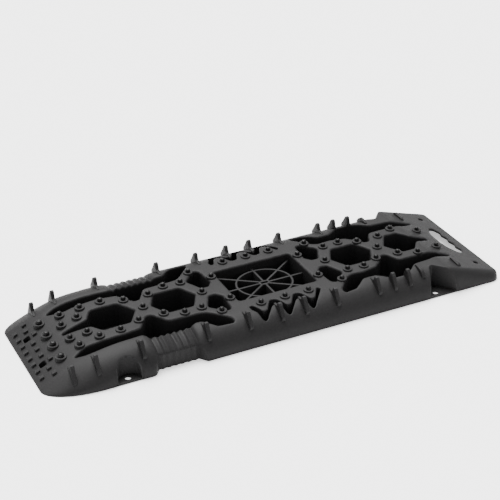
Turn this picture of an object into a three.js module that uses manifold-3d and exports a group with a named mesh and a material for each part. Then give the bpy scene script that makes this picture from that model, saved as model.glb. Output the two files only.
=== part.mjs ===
// Traction board for a stuck wheel: one nylon injection moulding, laid out here as its named regions.
// Frame: millimetres, +Z up, origin on the ground at the middle of the length and of the width.
// The thin nose edge that goes under the tyre is at -X, the hand slot is at +X.
import * as THREE from 'three';
import { mergeVertices } from 'three/addons/utils/BufferGeometryUtils.js';
import Module from 'manifold-3d';

// ---------------------------------------------------------------- driving dimensions
const LENGTH = 1060;
const WIDTH = 326;
const DECK_Z = 56.7;            // ground to the top of the honeycomb ribs
const WALL = 4;                 // thickness of every skin and wall
const PAN = 4;                  // thickness of the floor between the ribs
const GAP = 0.3;                // clearance between neighbouring regions

const NOSE_EDGE_Z = 2.2;        // thickness of the nose edge
const NOSE_RADIUS = 368;        // side view radius of the nose ramp
const NOSE_CORNER_RUN = 120;    // elliptical corners of the nose, along X
const NOSE_CORNER_IN = 51;      // and across Y
const NOSE_PANEL = 85;          // length of the closed nose panel
const TAIL_EDGE_Z = 15.7;
const TAIL_RUN = 133;           // length of the straight ramp at the hand slot end
const TAIL_CORNER = 22;
const TAIL_PANEL = 85;          // length of the closed tail panel
const SHOULDER_RUN = 62;        // elliptical shoulder of the side rails, across Y
const SHOULDER_DROP = 52;       // and down Z

const CENTRE_X = 19;            // the honeycomb is mirrored about this station
const FRAME_HALF_X = 93;        // square recess in the middle
const FRAME_HALF_Y = 64;
const FRAME_RIB = 22;           // width of the ribs across its two ends
const POCKET_U = 215;           // centre of a six-sided pocket, from CENTRE_X
const POCKET_HALF = 50;         // half its length, point to point
const POCKET_FLAT = 29;         // half its straight side
const POCKET_HALF_Y = 39;
const KNOT = 37;                // rib between the points of two pockets, along X
const END_POCKET_FLAT_FRONT = 59;
const END_POCKET_FLAT_REAR = 31;
const GROOVE_HALF_Y = 12;       // groove that runs on from an end pocket
const GROOVE_TIP_Y = 4;
const RIB_OUT_Y = 71;           // outer edge of the honeycomb ribs
const RAIL_IN_Y = 93;           // inner edge of the side rails
const BRIDGE_U = 130;           // end of the long channels, from CENTRE_X
const BRIDGE_OUT_Y = 126;       // outer corner of the long channels beside the bridges
const SEAM_Y = 97;              // where the bridges meet the rails
const CHANNEL_TIP_Y = 84;

const LOBE_PITCH = 56.4;        // the three lobes beside the square recess
const LOBE_OUT_Y = 119;
const NOTCH_OUT_Y = 141;        // bottoms of the notches in the rail

const GRIP_START = 223;         // finger grip in the side wall, from the nose edge
const GRIP_END = 340;
const GRIP_RAMP = 16;
const GRIP_DEPTH = 16.3;
const GRIP_LOWER = 7;           // how far the rail top is let down over the grip
const GRIP_RIPPLES = 6;

const STUD_COLLAR_D = 20;
const STUD_COLLAR_H = 3;
const STUD_PIN_D = 9;
const STUD_PIN_H = 7.5;         // pin top above the surface that the stud stands on
const STUD_SIDES = 8;
// stud places as [along, across]: across off the centre line, along towards the nearer end of the board
const STUDS_NOSE = [[61, 66.4], [61, 20.1]];            // along from the nose edge
const STUDS_FRONT = [                                   // along from the inner point of the end pocket
  [8.5, 42.4], [54.5, 58.5], [99.7, 57.9], [116.1, 30.3], [143.4, 60.1], [151.5, 26.2],
];
const STUDS_REAR = [[8.5, 42.4], [51.5, 58.5], [113.8, 40.2]];
const STUDS_MID = [[40.2, 41.6], [-0.7, 57], [-40.2, 54.7]];    // along from the pocket's centre
const STUD_OUTRIGGER = [13, 85];                        // along from the bridge
const STUD_SPINE = 56;                                  // along from the square recess, on the centre line
const STUD_BAR = [12.5, 47];                            // along from the square recess
const STUD_LOBE_Y = 93;
const CLEAT_T = 5;
const CLEAT_TOP = 15.3;         // cleat tip above the deck
const CLEAT_TOP_LOW = 7;        // the same for the last two, at the tail
const CLEAT_TIP_IN = 33;        // cleat tip, in from the side wall
const CLEAT_RUN = 58;           // cleat root, in from the side wall
const CLEAT_RUN_LOBE = 50;      // the same between the lobes
const CLEAT_RUN_SHORT = 38;     // and beside the widest part of the channel
const CLEAT_NOSE = 64;          // cleat stations from the nose edge: on the nose panel
const CLEATS_FRONT = [112, 208];
const CLEATS_MID_U = [199, 102];        // from CENTRE_X, towards the nose
const CLEATS_REAR_U = [102, 203];       // and towards the tail
const CLEATS_WIDE_U = [243, 281];
const CLEAT_PAST_LOBE = 26.2;
const CLEAT_PAST_NOTCH = 8;
const CLEAT_FROM_TAIL = 95;
const TOOTH = 9;                // small gripping teeth on the nose
const TOOTH_H = 3.5;
const TOOTH_PITCH = 24;
const TOOTH_ROWS = [[14, 8], [33, 7]];  // distance from the nose edge, and number of teeth

const LUG_T = 4.5;              // bolt-down lugs in the side notches
const LUG_HOLE_D = 13;
const LUG_HOLE_IN = 14;         // hole centre in from the side wall
const SCOOP_FROM_NOSE = 169;    // round notch of the front lugs
const SCOOP_R = 27;
const NOTCH_FROM_TAIL = 187;    // square wall of the rear notches
const NOTCH_LENGTH = 84;
const NOTCH_DEPTH = 30;

const SLOT_FROM_TAIL = 31;      // outer edge of the hand slot
const SLOT_WIDE = 32;
const SLOT_HALF_Y = 56;
const SLOT_FINGERS = 5;
const SLOT_WAVE = 3;
const TAIL_HOLE_D = 11;
const TAIL_HOLE_FROM_TAIL = 36;
const TAIL_HOLE_IN = 51.5;      // in from the side wall

const WEB_Z = 40.5;             // top of the web in the square recess
const WEB_RIB = 3.5;
const WEB_RING_X = 63;          // half axes of its oval ring
const WEB_RING_Y = 54;
const WEB_HUB = 9;

// ---------------------------------------------------------------- derived places
const NOSE_X = -LENGTH / 2;
const TAIL_X = LENGTH / 2;
const HALF_Y = WIDTH / 2;
const NOSE_SPLIT = NOSE_X + NOSE_PANEL;
const TAIL_SPLIT = TAIL_X - TAIL_PANEL;
const NOSE_DROP = DECK_Z - NOSE_EDGE_Z;
const NOSE_RUN = Math.sqrt(2 * NOSE_RADIUS * NOSE_DROP - NOSE_DROP ** 2);
const POCKET_POINT_U = POCKET_U + POCKET_HALF;          // outer point of a pocket
const END_POINT_U = POCKET_POINT_U + KNOT;              // inner point of an end pocket
const KNOT_U = POCKET_POINT_U + KNOT / 2;
const POINT_RUN = POCKET_HALF - POCKET_FLAT;
const LOBES_X = [-1, 0, 1].map((k) => CENTRE_X + k * LOBE_PITCH);
const SCOOP_X = NOSE_X + SCOOP_FROM_NOSE;
const NOTCH_X = TAIL_X - NOTCH_FROM_TAIL;
const gripStart = NOSE_X + GRIP_START;
const gripEnd = NOSE_X + GRIP_END;
const halfGap = GAP / 2;
const HIGH = DECK_Z + 60;       // above everything
const OUT = HALF_Y + 20;        // beyond the side wall

// ---------------------------------------------------------------- solids
const wasm = await Module();
wasm.setup();

function solid(geometry) {
  const bare = geometry.clone();
  bare.deleteAttribute('normal');
  bare.deleteAttribute('uv');
  const merged = mergeVertices(bare, 1e-4);
  const mesh = new wasm.Mesh({
    numProp: 3,
    vertProperties: new Float32Array(merged.attributes.position.array),
    triVerts: new Uint32Array(merged.index.array),
  });
  return new wasm.Manifold(mesh);
}

function geometryOf(body) {
  const mesh = body.getMesh();
  const geometry = new THREE.BufferGeometry();
  geometry.setAttribute('position', new THREE.BufferAttribute(new Float32Array(mesh.vertProperties), 3));
  geometry.setIndex(new THREE.BufferAttribute(new Uint32Array(mesh.triVerts), 1));
  geometry.computeVertexNormals();
  return geometry;
}

const outline = (points) => new THREE.Shape(points.map(([x, y]) => new THREE.Vector2(x, y)));

// a plan outline standing from z0 to z1
function prism(points, z0, z1) {
  const geometry = new THREE.ExtrudeGeometry(outline(points), { depth: z1 - z0, bevelEnabled: false });
  geometry.translate(0, 0, z0);
  return solid(geometry);
}

// a disc standing from z0 to z1
function drum(x, y, radius, z0, z1, sides) {
  const geometry = new THREE.CylinderGeometry(radius, radius, z1 - z0, sides);
  geometry.rotateX(Math.PI / 2);
  geometry.translate(x, y, (z0 + z1) / 2);
  return solid(geometry);
}

const turnOf = (points) => (THREE.ShapeUtils.isClockWise(points.map(([x, y]) => ({ x, y }))) ? -1 : 1);

// an outline moved inwards by d, every corner on its mitre
function inset(points, d) {
  const turn = turnOf(points);
  return points.map((p, i) => {
    const before = points[(i + points.length - 1) % points.length];
    const after = points[(i + 1) % points.length];
    const a = new THREE.Vector2(p[0] - before[0], p[1] - before[1]).normalize();
    const b = new THREE.Vector2(after[0] - p[0], after[1] - p[1]).normalize();
    const across = new THREE.Vector2(-a.y, a.x);
    const mitre = new THREE.Vector2(-a.y - b.y, a.x + b.x).normalize();
    const reach = turn * d / Math.max(mitre.dot(across), 0.35);
    return [p[0] + mitre.x * reach, p[1] + mitre.y * reach];
  });
}

// what is left of a standing outline when a wall of thickness d is kept along each of its edges
function core(points, d, z0, z1) {
  const turn = turnOf(points);
  const edges = points.map((p, i) => {
    const after = points[(i + 1) % points.length];
    return new THREE.Vector2(after[0] - p[0], after[1] - p[1]);
  });
  // how far the wall runs past corner i, which is only needed round an inside corner
  const past = (i) => {
    const a = edges[(i + points.length - 1) % points.length];
    const b = edges[i % points.length];
    const bend = turn * Math.atan2(a.cross(b), a.dot(b));
    return Math.max(0.05, 1.02 * d * Math.min(Math.tan(-bend / 2), 1.5));
  };
  let body = prism(points, z0, z1);
  points.forEach((p, i) => {
    const along = edges[i].clone().normalize();
    const from = -past(i);
    const to = edges[i].length() + past(i + 1);
    const corner = (run, out) => [p[0] + along.x * run - along.y * out, p[1] + along.y * run + along.x * out];
    const strip = [corner(from, -d), corner(to, -d), corner(to, d), corner(from, d)];
    body = body.subtract(prism(strip, z0 - 1, z1 + 1));
  });
  return body;
}

const mirrorY = (points) => points.map(([x, y]) => [x, -y]).reverse();
// front half outlines are drawn as [u, y], u measured from CENTRE_X towards the nose
const front = (points) => points.map(([u, y]) => [CENTRE_X - u, y]);
const rear = (points) => points.map(([u, y]) => [CENTRE_X + u, y]);

// ---------------------------------------------------------------- outer form of the board
// height of the deck line, and half width of the plan, at station x
function deckLine(x) {
  if (x < NOSE_X + NOSE_RUN) {
    const run = NOSE_X + NOSE_RUN - x;
    return DECK_Z - NOSE_RADIUS + Math.sqrt(NOSE_RADIUS ** 2 - run ** 2);
  }
  const down = (DECK_Z - TAIL_EDGE_Z) / TAIL_RUN;
  return DECK_Z - down * Math.max(0, x - (TAIL_X - TAIL_RUN));
}

function halfWidth(x) {
  const fromNose = NOSE_CORNER_RUN - (x - NOSE_X);
  if (fromNose > 0) {
    const bow = Math.sqrt(Math.max(0, 1 - (fromNose / NOSE_CORNER_RUN) ** 2));
    return HALF_Y - NOSE_CORNER_IN * (1 - bow);
  }
  const intoCorner = x - (TAIL_X - TAIL_CORNER);
  if (intoCorner > 0) {
    return HALF_Y - TAIL_CORNER + Math.sqrt(Math.max(0, TAIL_CORNER ** 2 - intoCorner ** 2));
  }
  return HALF_Y;
}

// half outline of the cross-section: wall, elliptical shoulder, flat deck; skin is the inward offset
function section(skin) {
  const steps = 5;
  const points = [[-HALF_Y + skin, 0]];
  for (let i = 0; i <= steps; i++) {
    const a = (i / steps) * Math.PI / 2;
    const y = -HALF_Y + SHOULDER_RUN - (SHOULDER_RUN - skin) * Math.cos(a);
    points.push([y, DECK_Z - SHOULDER_DROP + (SHOULDER_DROP - skin) * Math.sin(a)]);
  }
  return points.concat(points.map(([y, z]) => [-y, z]).reverse());
}

// the section swept along X, its width and height following the plan and the deck line
function sweep(skin, stations) {
  const geometry = new THREE.ExtrudeGeometry(outline(section(skin)), {
    depth: 1, steps: stations.length - 1, bevelEnabled: false,
  });
  const at = geometry.attributes.position;
  for (let i = 0; i < at.count; i++) {
    const x = stations[Math.round(at.getZ(i) * (stations.length - 1))];
    const wide = (halfWidth(x) - skin) / (HALF_Y - skin);
    const tall = (deckLine(x) - skin) / (DECK_Z - skin);
    at.setXYZ(i, x, at.getX(i) * wide, at.getY(i) * tall);
  }
  return solid(geometry);
}

const bends = [3, 10, 22, 40, 62, 88, 120, 150, NOSE_RUN].map((d) => NOSE_X + d);
const tailBends = [TAIL_RUN, TAIL_CORNER, 14, 6.5, 1.5].map((d) => TAIL_X - d);
const HOLLOW_START = NOSE_X + 10;       // the nose edge is solid up to here
const outer = sweep(0, [NOSE_X, ...bends, ...tailBends, TAIL_X]);
const inner = sweep(WALL, [HOLLOW_START, ...bends.slice(2), ...tailBends.slice(0, 3), TAIL_X - WALL]);

// a region of the skin with walls down its own outline; lift is the height that its walls start at
function cup(points, lift = 0) {
  const body = prism(points, lift, HIGH).intersect(outer);
  return body.subtract(core(points, WALL, -1, HIGH).intersect(inner));
}

// ---------------------------------------------------------------- studs, cleats and teeth
function stud(body, x, y) {
  const z = deckLine(x);
  const rise = Math.abs(deckLine(x + STUD_COLLAR_D / 2) - deckLine(x - STUD_COLLAR_D / 2)) / 2;
  const foot = z - rise - WALL / 2;
  const collar = drum(x, y, STUD_COLLAR_D / 2, foot, z + STUD_COLLAR_H, STUD_SIDES);
  const pin = drum(x, y, STUD_PIN_D / 2, z, z + STUD_PIN_H, STUD_SIDES);
  return body.add(collar.add(pin).subtract(inner));
}

// an upright fin across the shoulder; side is +1 or -1
function cleat(body, x, side, root = CLEAT_RUN, top = CLEAT_TOP) {
  const z = deckLine(x);
  const tipY = HALF_Y - CLEAT_TIP_IN;
  const wide = halfWidth(x) / HALF_Y;
  const foot = HALF_Y - root;
  const profile = [
    [foot, z - 6], [foot, z - 1], [Math.max(tipY - 8, foot + 1), z + 0.62 * top],
    [tipY, z + top], [tipY + 6, z + 0.8 * top], [tipY + 17, z + 0.05 * top],
    [HALF_Y - 9, 0.72 * z], [HALF_Y - 5, 0.5 * z], [HALF_Y - 9, 0.4 * z],
  ].map(([y, up]) => [y * wide, up]);
  const geometry = new THREE.ExtrudeGeometry(outline(profile), { depth: CLEAT_T, bevelEnabled: false });
  geometry.rotateX(Math.PI / 2);
  geometry.rotateZ(Math.PI / 2);
  geometry.translate(x - CLEAT_T / 2, 0, 0);
  let fin = solid(geometry).subtract(inner);
  if (side < 0) fin = fin.mirror([0, 1, 0]);
  return body.add(fin);
}

// a wedge that rises towards the tail, with its upright face behind
function tooth(body, x, y) {
  const z = deckLine(x);
  const wedge = outline([[x - TOOTH / 2, z - 3], [x + TOOTH / 2, z - 3], [x + TOOTH / 2, z + TOOTH_H + 2],
    [x + TOOTH / 4, z + TOOTH_H + 2]]);
  const geometry = new THREE.ExtrudeGeometry(wedge, { depth: 0.7 * TOOTH, bevelEnabled: false });
  geometry.rotateX(Math.PI / 2);
  geometry.translate(0, y + 0.35 * TOOTH, 0);
  return body.add(solid(geometry));
}

// ---------------------------------------------------------------- outlines of the honeycomb, upper half
// outer edge of the ribs, from the middle of the board outwards, as [u, y]
const ribEdgeIn = [
  [BRIDGE_U, BRIDGE_OUT_Y], [BRIDGE_U + 3, BRIDGE_OUT_Y - 11], [BRIDGE_U + 30, RIB_OUT_Y + 15],
];
const ribEdgeMid = [
  [POCKET_U - 36, RIB_OUT_Y], [POCKET_U + 26, RIB_OUT_Y], [KNOT_U - 15.5, 51], [KNOT_U - 5.5, 34],
];
const ribEdgeEnd = [[KNOT_U + 5.5, 34], [KNOT_U + 15.5, 50], [KNOT_U + 31, RIB_OUT_Y - 1]];
const ribEdgeFar = [KNOT_U + 71, RIB_OUT_Y + 2];

// the bridge beside the square, the outrigger and the rib walls round a small cell, as [u, y]
const cellLeft = [POCKET_U - 54, 56];
const cellTopOut = [POCKET_U - 84, 86];
const cellTopIn = [FRAME_HALF_X + 27, 82];
const cellRight = [FRAME_HALF_X + FRAME_RIB, 32];
const cellFootIn = [FRAME_HALF_X + 33, 18];
const cellFootOut = [FRAME_HALF_X + 49, 18];
const outrigger = [POCKET_U - 48, 78];
const pocketPointIn = [POCKET_U - POCKET_HALF, 0];
const pocketPointOut = [POCKET_U + POCKET_HALF, 0];

function endBeam(split, flat, towards) {
  const u = Math.abs(split - CENTRE_X) - GAP;
  const cornerU = END_POINT_U + POINT_RUN + 4 + flat;
  return towards([
    [END_POINT_U, halfGap], [END_POINT_U + POINT_RUN + 4, POCKET_HALF_Y], [cornerU, POCKET_HALF_Y],
    [cornerU + 17, GROOVE_HALF_Y], [u, GROOVE_TIP_Y], [u, CHANNEL_TIP_Y - 2], [u - 24, RIB_OUT_Y + 1],
    ribEdgeFar, ...[...ribEdgeEnd].reverse(),
  ]);
}

const midBeam = [
  pocketPointOut, [POCKET_U + POCKET_FLAT, POCKET_HALF_Y], [POCKET_U - POCKET_FLAT, POCKET_HALF_Y],
  pocketPointIn, cellFootOut, cellLeft, outrigger, ...ribEdgeMid,
];
const armBeam = [outrigger, cellLeft, cellTopOut, ...ribEdgeIn.slice(1)];
const knot = [
  [END_POINT_U, 0], [KNOT_U + 5.5, 34], [KNOT_U - 5.5, 34], [POCKET_POINT_U, 0],
  [KNOT_U - 5.5, -34], [KNOT_U + 5.5, -34],
];
const spine = [
  pocketPointIn, cellFootOut, cellFootIn, cellRight,
  ...mirrorY([pocketPointIn, cellFootOut, cellFootIn, cellRight]).slice(0, 3),
];
const frameEnd = [
  [FRAME_HALF_X, -FRAME_HALF_Y], [FRAME_HALF_X, FRAME_HALF_Y], cellTopIn, cellRight,
  [cellRight[0], -cellRight[1]], [cellTopIn[0], -cellTopIn[1]],
];

// the edge of the ribs beside the square, lobe by lobe, and of the rail beyond it, as [x, y]
const firstLobe = LOBES_X[0];
const lastLobe = LOBES_X[2];
const channelStart = [firstLobe - 29.4, SEAM_Y];
const channelStop = [lastLobe + 26, SEAM_Y];
const lobeEdge = LOBES_X.flatMap((x) => [
  [x - 16, LOBE_OUT_Y - 9], [x - 9, LOBE_OUT_Y], [x + 2, LOBE_OUT_Y], [x + 23, LOBE_OUT_Y - 30],
]).slice(0, -1);
const notch = (x) => [[x - 20, NOTCH_OUT_Y - 22], [x - 17, NOTCH_OUT_Y - 5], [x - 13, NOTCH_OUT_Y],
  [x - 8, NOTCH_OUT_Y - 3]];
const tongue = (x) => [[x + 17, NOTCH_OUT_Y - 29], [x + 28, NOTCH_OUT_Y - 34]];
const notchIn = [channelStart, ...notch(firstLobe).slice(0, 3)];
const notchEdge = [
  ...notch(firstLobe).slice(2), ...tongue(firstLobe), ...notch(LOBES_X[1]), ...tongue(LOBES_X[1]),
  ...notch(lastLobe),
];
const notchOut = [notch(lastLobe)[3], channelStop];
const seamEnd = [BRIDGE_U + 2, SEAM_Y];
const frameSide = [
  [CENTRE_X - FRAME_HALF_X, FRAME_HALF_Y], [CENTRE_X + FRAME_HALF_X, FRAME_HALF_Y],
  channelStop, ...[...lobeEdge].reverse(), channelStart,
];
const bridgeFront = [
  [CENTRE_X - FRAME_HALF_X, FRAME_HALF_Y], channelStart, ...front([seamEnd, cellTopOut, cellTopIn]),
];
const bridgeRear = [
  [CENTRE_X + FRAME_HALF_X, FRAME_HALF_Y], channelStop, ...rear([seamEnd, cellTopOut, cellTopIn]),
];

// inner edge of the rails, as [u, y] outwards from the bridge
const railEdgeNear = [
  seamEnd, ribEdgeIn[1], ribEdgeIn[0], [BRIDGE_U + 27, BRIDGE_OUT_Y - 2],
  [BRIDGE_U + 40, RAIL_IN_Y + 24], [POCKET_U - 25, RAIL_IN_Y + 6],
];
const railEdgeFront = front([...railEdgeNear, [CENTRE_X - gripEnd, RAIL_IN_Y + 6]]);
const gripEdge = [[gripEnd, RAIL_IN_Y + 6], [gripEnd - 18, RAIL_IN_Y + 9], [gripStart + 22, RAIL_IN_Y + 9],
  [gripStart, RAIL_IN_Y - 1]];
const railEdgeRear = rear([
  ...railEdgeNear, [POCKET_U + 4, RAIL_IN_Y + 6], [POCKET_U + 36, RAIL_IN_Y + 30],
  [POCKET_U + 68, RAIL_IN_Y + 30], [POCKET_U + 88, RAIL_IN_Y + 17], [POCKET_U + 103, RAIL_IN_Y + 2],
]);
const tailTipX = TAIL_SPLIT - halfGap;
const railEdgeTail = [[NOTCH_X, RAIL_IN_Y], [TAIL_X - 125, RAIL_IN_Y - 5], [tailTipX, CHANNEL_TIP_Y]];

// ---------------------------------------------------------------- regions that need more than a cup
const inwards = (points) => inset(points, halfGap);

function rail(points, cut) {
  const body = cup(inwards(points));
  if (!cut) return body;
  const lining = cut.wall.intersect(prism(inwards(points), 0, HIGH)).intersect(outer);
  return body.add(lining).subtract(cut.space);
}

// round notch over a front lug, with the wall that lines it
function scoop(side) {
  const y = side * HALF_Y;
  return {
    wall: drum(SCOOP_X, y, SCOOP_R + WALL, 0, HIGH, 24),
    space: drum(SCOOP_X, y, SCOOP_R, -1, HIGH, 24),
  };
}

// three-sided notch over a rear lug
const notchPlan = [
  [NOTCH_X, OUT], [NOTCH_X, HALF_Y - NOTCH_DEPTH], [NOTCH_X + 9, HALF_Y - NOTCH_DEPTH - 1],
  [NOTCH_X + NOTCH_LENGTH, HALF_Y + 1], [NOTCH_X + NOTCH_LENGTH, OUT],
];
function threeSided(side) {
  const plan = side > 0 ? notchPlan : mirrorY(notchPlan);
  return { wall: prism(inset(plan, -WALL), 0, HIGH), space: prism(plan, -1, HIGH) };
}

// the finger grip: side wall set in with round ripples, rail top let down
function grip(points, side) {
  const y = side * (HALF_Y - GRIP_DEPTH);
  const keep = [[gripStart - 9, 0], [gripStart - 9, HALF_Y + 1], [gripStart, HALF_Y + 1]];
  const pitch = (gripEnd - gripStart - 2 * GRIP_RAMP) / GRIP_RIPPLES;
  for (let i = 0; i <= GRIP_RIPPLES; i++) {
    const x = gripStart + GRIP_RAMP + i * pitch;
    keep.push([x, HALF_Y - GRIP_DEPTH - 1.5]);
    if (i < GRIP_RIPPLES) keep.push([x + pitch / 2, HALF_Y - GRIP_DEPTH + 1.5]);
  }
  keep.push([gripEnd, HALF_Y + 1], [gripEnd + 9, HALF_Y + 1], [gripEnd + 9, 0]);
  const plan = side > 0 ? keep : mirrorY(keep);
  const thin = inset(plan, WALL);
  const low = DECK_Z - GRIP_LOWER;
  const body = prism(inwards(points), 0, low).intersect(outer).intersect(prism(plan, -1, HIGH));
  const hollow = core(inwards(points), WALL, -1, low - WALL).intersect(inner);
  return body.subtract(hollow.intersect(prism(thin, -2, HIGH)));
}

// ---------------------------------------------------------------- build
const board = new THREE.Group();
const NYLON = new THREE.Color(0x3a3a3d);
function place(name, body) {
  const material = new THREE.MeshStandardMaterial({ color: NYLON, roughness: 0.62, metalness: 0 });
  const mesh = new THREE.Mesh(geometryOf(body), material);
  mesh.name = name;
  board.add(mesh);
}

const LIFT = PAN + GAP;
const sides = [['left', 1], ['right', -1]];
const onSide = (points, side) => (side > 0 ? points : mirrorY(points));

// nose panel with its teeth and the first row of studs
const noseTo = NOSE_SPLIT - halfGap;
const nosePlan = [[NOSE_X - 1, -OUT], [noseTo, -OUT], [noseTo, OUT], [NOSE_X - 1, OUT]];
let nose = cup(nosePlan);
for (const [from, count] of TOOTH_ROWS) {
  for (let k = 0; k < count; k++) nose = tooth(nose, NOSE_X + from, (k - (count - 1) / 2) * TOOTH_PITCH);
}
for (const [, side] of sides) {
  for (const [from, y] of STUDS_NOSE) nose = stud(nose, NOSE_X + from, side * y);
  nose = cleat(nose, NOSE_X + CLEAT_NOSE, side, CLEAT_RUN - 6);
}
place('nose_ramp', nose);

// honeycomb ribs
for (const [name, side] of sides) {
  let beam = cup(onSide(inwards(endBeam(NOSE_SPLIT, END_POCKET_FLAT_FRONT, front)), side), LIFT);
  for (const [u, y] of STUDS_FRONT) beam = stud(beam, CENTRE_X - END_POINT_U - u, side * y);
  place(`front_beam_${name}`, beam);
  beam = cup(onSide(inwards(endBeam(TAIL_SPLIT, END_POCKET_FLAT_REAR, rear)), side), LIFT);
  for (const [u, y] of STUDS_REAR) beam = stud(beam, CENTRE_X + END_POINT_U + u, side * y);
  place(`rear_beam_${name}`, beam);
  for (const [end, towards, sign] of [['front', front, -1], ['rear', rear, 1]]) {
    let mid = cup(onSide(inwards(towards(midBeam)), side), LIFT);
    for (const [u, y] of STUDS_MID) mid = stud(mid, CENTRE_X + sign * (POCKET_U + u), side * y);
    place(`mid_beam_${end}_${name}`, mid);
    const arm = cup(onSide(inwards(towards(armBeam)), side), LIFT);
    const armX = CENTRE_X + sign * (BRIDGE_U + STUD_OUTRIGGER[0]);
    place(`outrigger_${end}_${name}`, stud(arm, armX, side * STUD_OUTRIGGER[1]));
    const bridge = end === 'front' ? bridgeFront : bridgeRear;
    place(`bridge_${end}_${name}`, cup(onSide(inwards(bridge), side), LIFT));
  }
  let frame = cup(onSide(inwards(frameSide), side), LIFT);
  for (const x of LOBES_X) frame = stud(frame, x, side * STUD_LOBE_Y);
  place(`frame_side_${name}`, frame);
}
for (const [end, towards, sign] of [['front', front, -1], ['rear', rear, 1]]) {
  place(`knot_${end}`, stud(cup(inwards(towards(knot)), LIFT), CENTRE_X + sign * KNOT_U, 0));
  const spineX = CENTRE_X + sign * (FRAME_HALF_X + STUD_SPINE);
  place(`spine_${end}`, stud(cup(inwards(towards(spine)), LIFT), spineX, 0));
  let bar = cup(inwards(towards(frameEnd)), LIFT);
  for (const [, side] of sides) {
    bar = stud(bar, CENTRE_X + sign * (FRAME_HALF_X + STUD_BAR[0]), side * STUD_BAR[1]);
  }
  place(`frame_bar_${end}`, bar);
}

// side rails, from the nose panel to the tail panel
const frontRail = [
  [NOSE_SPLIT + halfGap, OUT], [NOSE_SPLIT + halfGap, CHANNEL_TIP_Y + 3], [NOSE_SPLIT + 20, RAIL_IN_Y + 1],
  [NOSE_SPLIT + 40, RAIL_IN_Y + 3], [NOSE_SPLIT + 110, RAIL_IN_Y], gripEdge[3], [gripStart, OUT],
];
const gripRail = [[gripStart, OUT], ...[...gripEdge].reverse(), [gripEnd, OUT]];
const midRail = [
  [gripEnd, OUT], ...[...railEdgeFront].reverse(), ...notchIn, [notchEdge[0][0], OUT],
];
const notchRail = [[notchEdge[0][0], OUT], ...notchEdge, [notchOut[0][0], OUT]];
const rearRail = [[notchOut[0][0], OUT], ...notchOut, ...railEdgeRear, railEdgeTail[0], [NOTCH_X, OUT]];
const tailRail = [[NOTCH_X, OUT], ...railEdgeTail, [tailTipX, OUT]];
for (const [name, side] of sides) {
  let body = rail(onSide(frontRail, side), scoop(side));
  for (const from of CLEATS_FRONT) body = cleat(body, NOSE_X + from, side);
  place(`front_rail_${name}`, body);
  place(`grip_${name}`, grip(onSide(gripRail, side), side));
  body = rail(onSide(midRail, side));
  for (const u of CLEATS_MID_U) body = cleat(body, CENTRE_X - u, side);
  place(`mid_rail_${name}`, body);
  body = rail(onSide(notchRail, side));
  for (const x of LOBES_X.slice(0, 2)) body = cleat(body, x + CLEAT_PAST_LOBE, side, CLEAT_RUN_LOBE);
  place(`notched_rail_${name}`, body);
  body = rail(onSide(rearRail, side));
  for (const u of CLEATS_REAR_U) body = cleat(body, CENTRE_X + u, side);
  for (const u of CLEATS_WIDE_U) body = cleat(body, CENTRE_X + u, side, CLEAT_RUN_SHORT);
  place(`rear_rail_${name}`, body);
  body = rail(onSide(tailRail, side), threeSided(side));
  body = cleat(body, NOTCH_X + CLEAT_PAST_NOTCH, side, CLEAT_RUN_SHORT, CLEAT_TOP_LOW);
  body = cleat(body, TAIL_X - CLEAT_FROM_TAIL, side, CLEAT_RUN, CLEAT_TOP_LOW);
  place(`tail_rail_${name}`, body);
}

// bolt-down lugs
for (const [name, side] of sides) {
  const y = side * (HALF_Y - LUG_HOLE_IN);
  const hole = (x) => drum(x, y, LUG_HOLE_D / 2, -1, HIGH, 20);
  const disc = drum(SCOOP_X, side * HALF_Y, SCOOP_R - GAP, 0, LUG_T, 24).intersect(outer);
  place(`front_lug_${name}`, disc.subtract(hole(SCOOP_X)));
  const plate = prism(onSide(inset(notchPlan, GAP), side), 0, LUG_T).intersect(outer);
  place(`rear_lug_${name}`, plate.subtract(hole(NOTCH_X + 21)));
}

// floor between the ribs, open under every rib
const rimHalf = [
  ...[...railEdgeTail].reverse().slice(1), ...[...railEdgeRear].reverse(), channelStop,
  ...[...notchEdge].reverse(), ...[...notchIn].reverse().slice(1), ...railEdgeFront, ...gripEdge.slice(1),
  ...[...frontRail.slice(2, 5)].reverse(),
];
const tailTip = [TAIL_SPLIT - 12, CHANNEL_TIP_Y];
const noseTip = [NOSE_SPLIT + 12, CHANNEL_TIP_Y + 3];
const rim = [tailTip, ...rimHalf, noseTip];
let pan = prism(inset([...rim, ...mirrorY(rim)], GAP), 0, PAN);
const HOLLOW = WALL + 3;
const hollows = [];
for (const [, side] of sides) {
  const both = [
    endBeam(NOSE_SPLIT, END_POCKET_FLAT_FRONT, front), endBeam(TAIL_SPLIT, END_POCKET_FLAT_REAR, rear),
    front(midBeam), rear(midBeam), front(armBeam), rear(armBeam), frameSide, bridgeFront, bridgeRear,
  ];
  for (const points of both) hollows.push(onSide(points, side));
}
for (const points of [knot, spine, frameEnd]) hollows.push(front(points), rear(points));
for (const points of hollows) pan = pan.subtract(core(points, HOLLOW, -1, PAN + 1));
place('floor_pan', pan);

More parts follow.
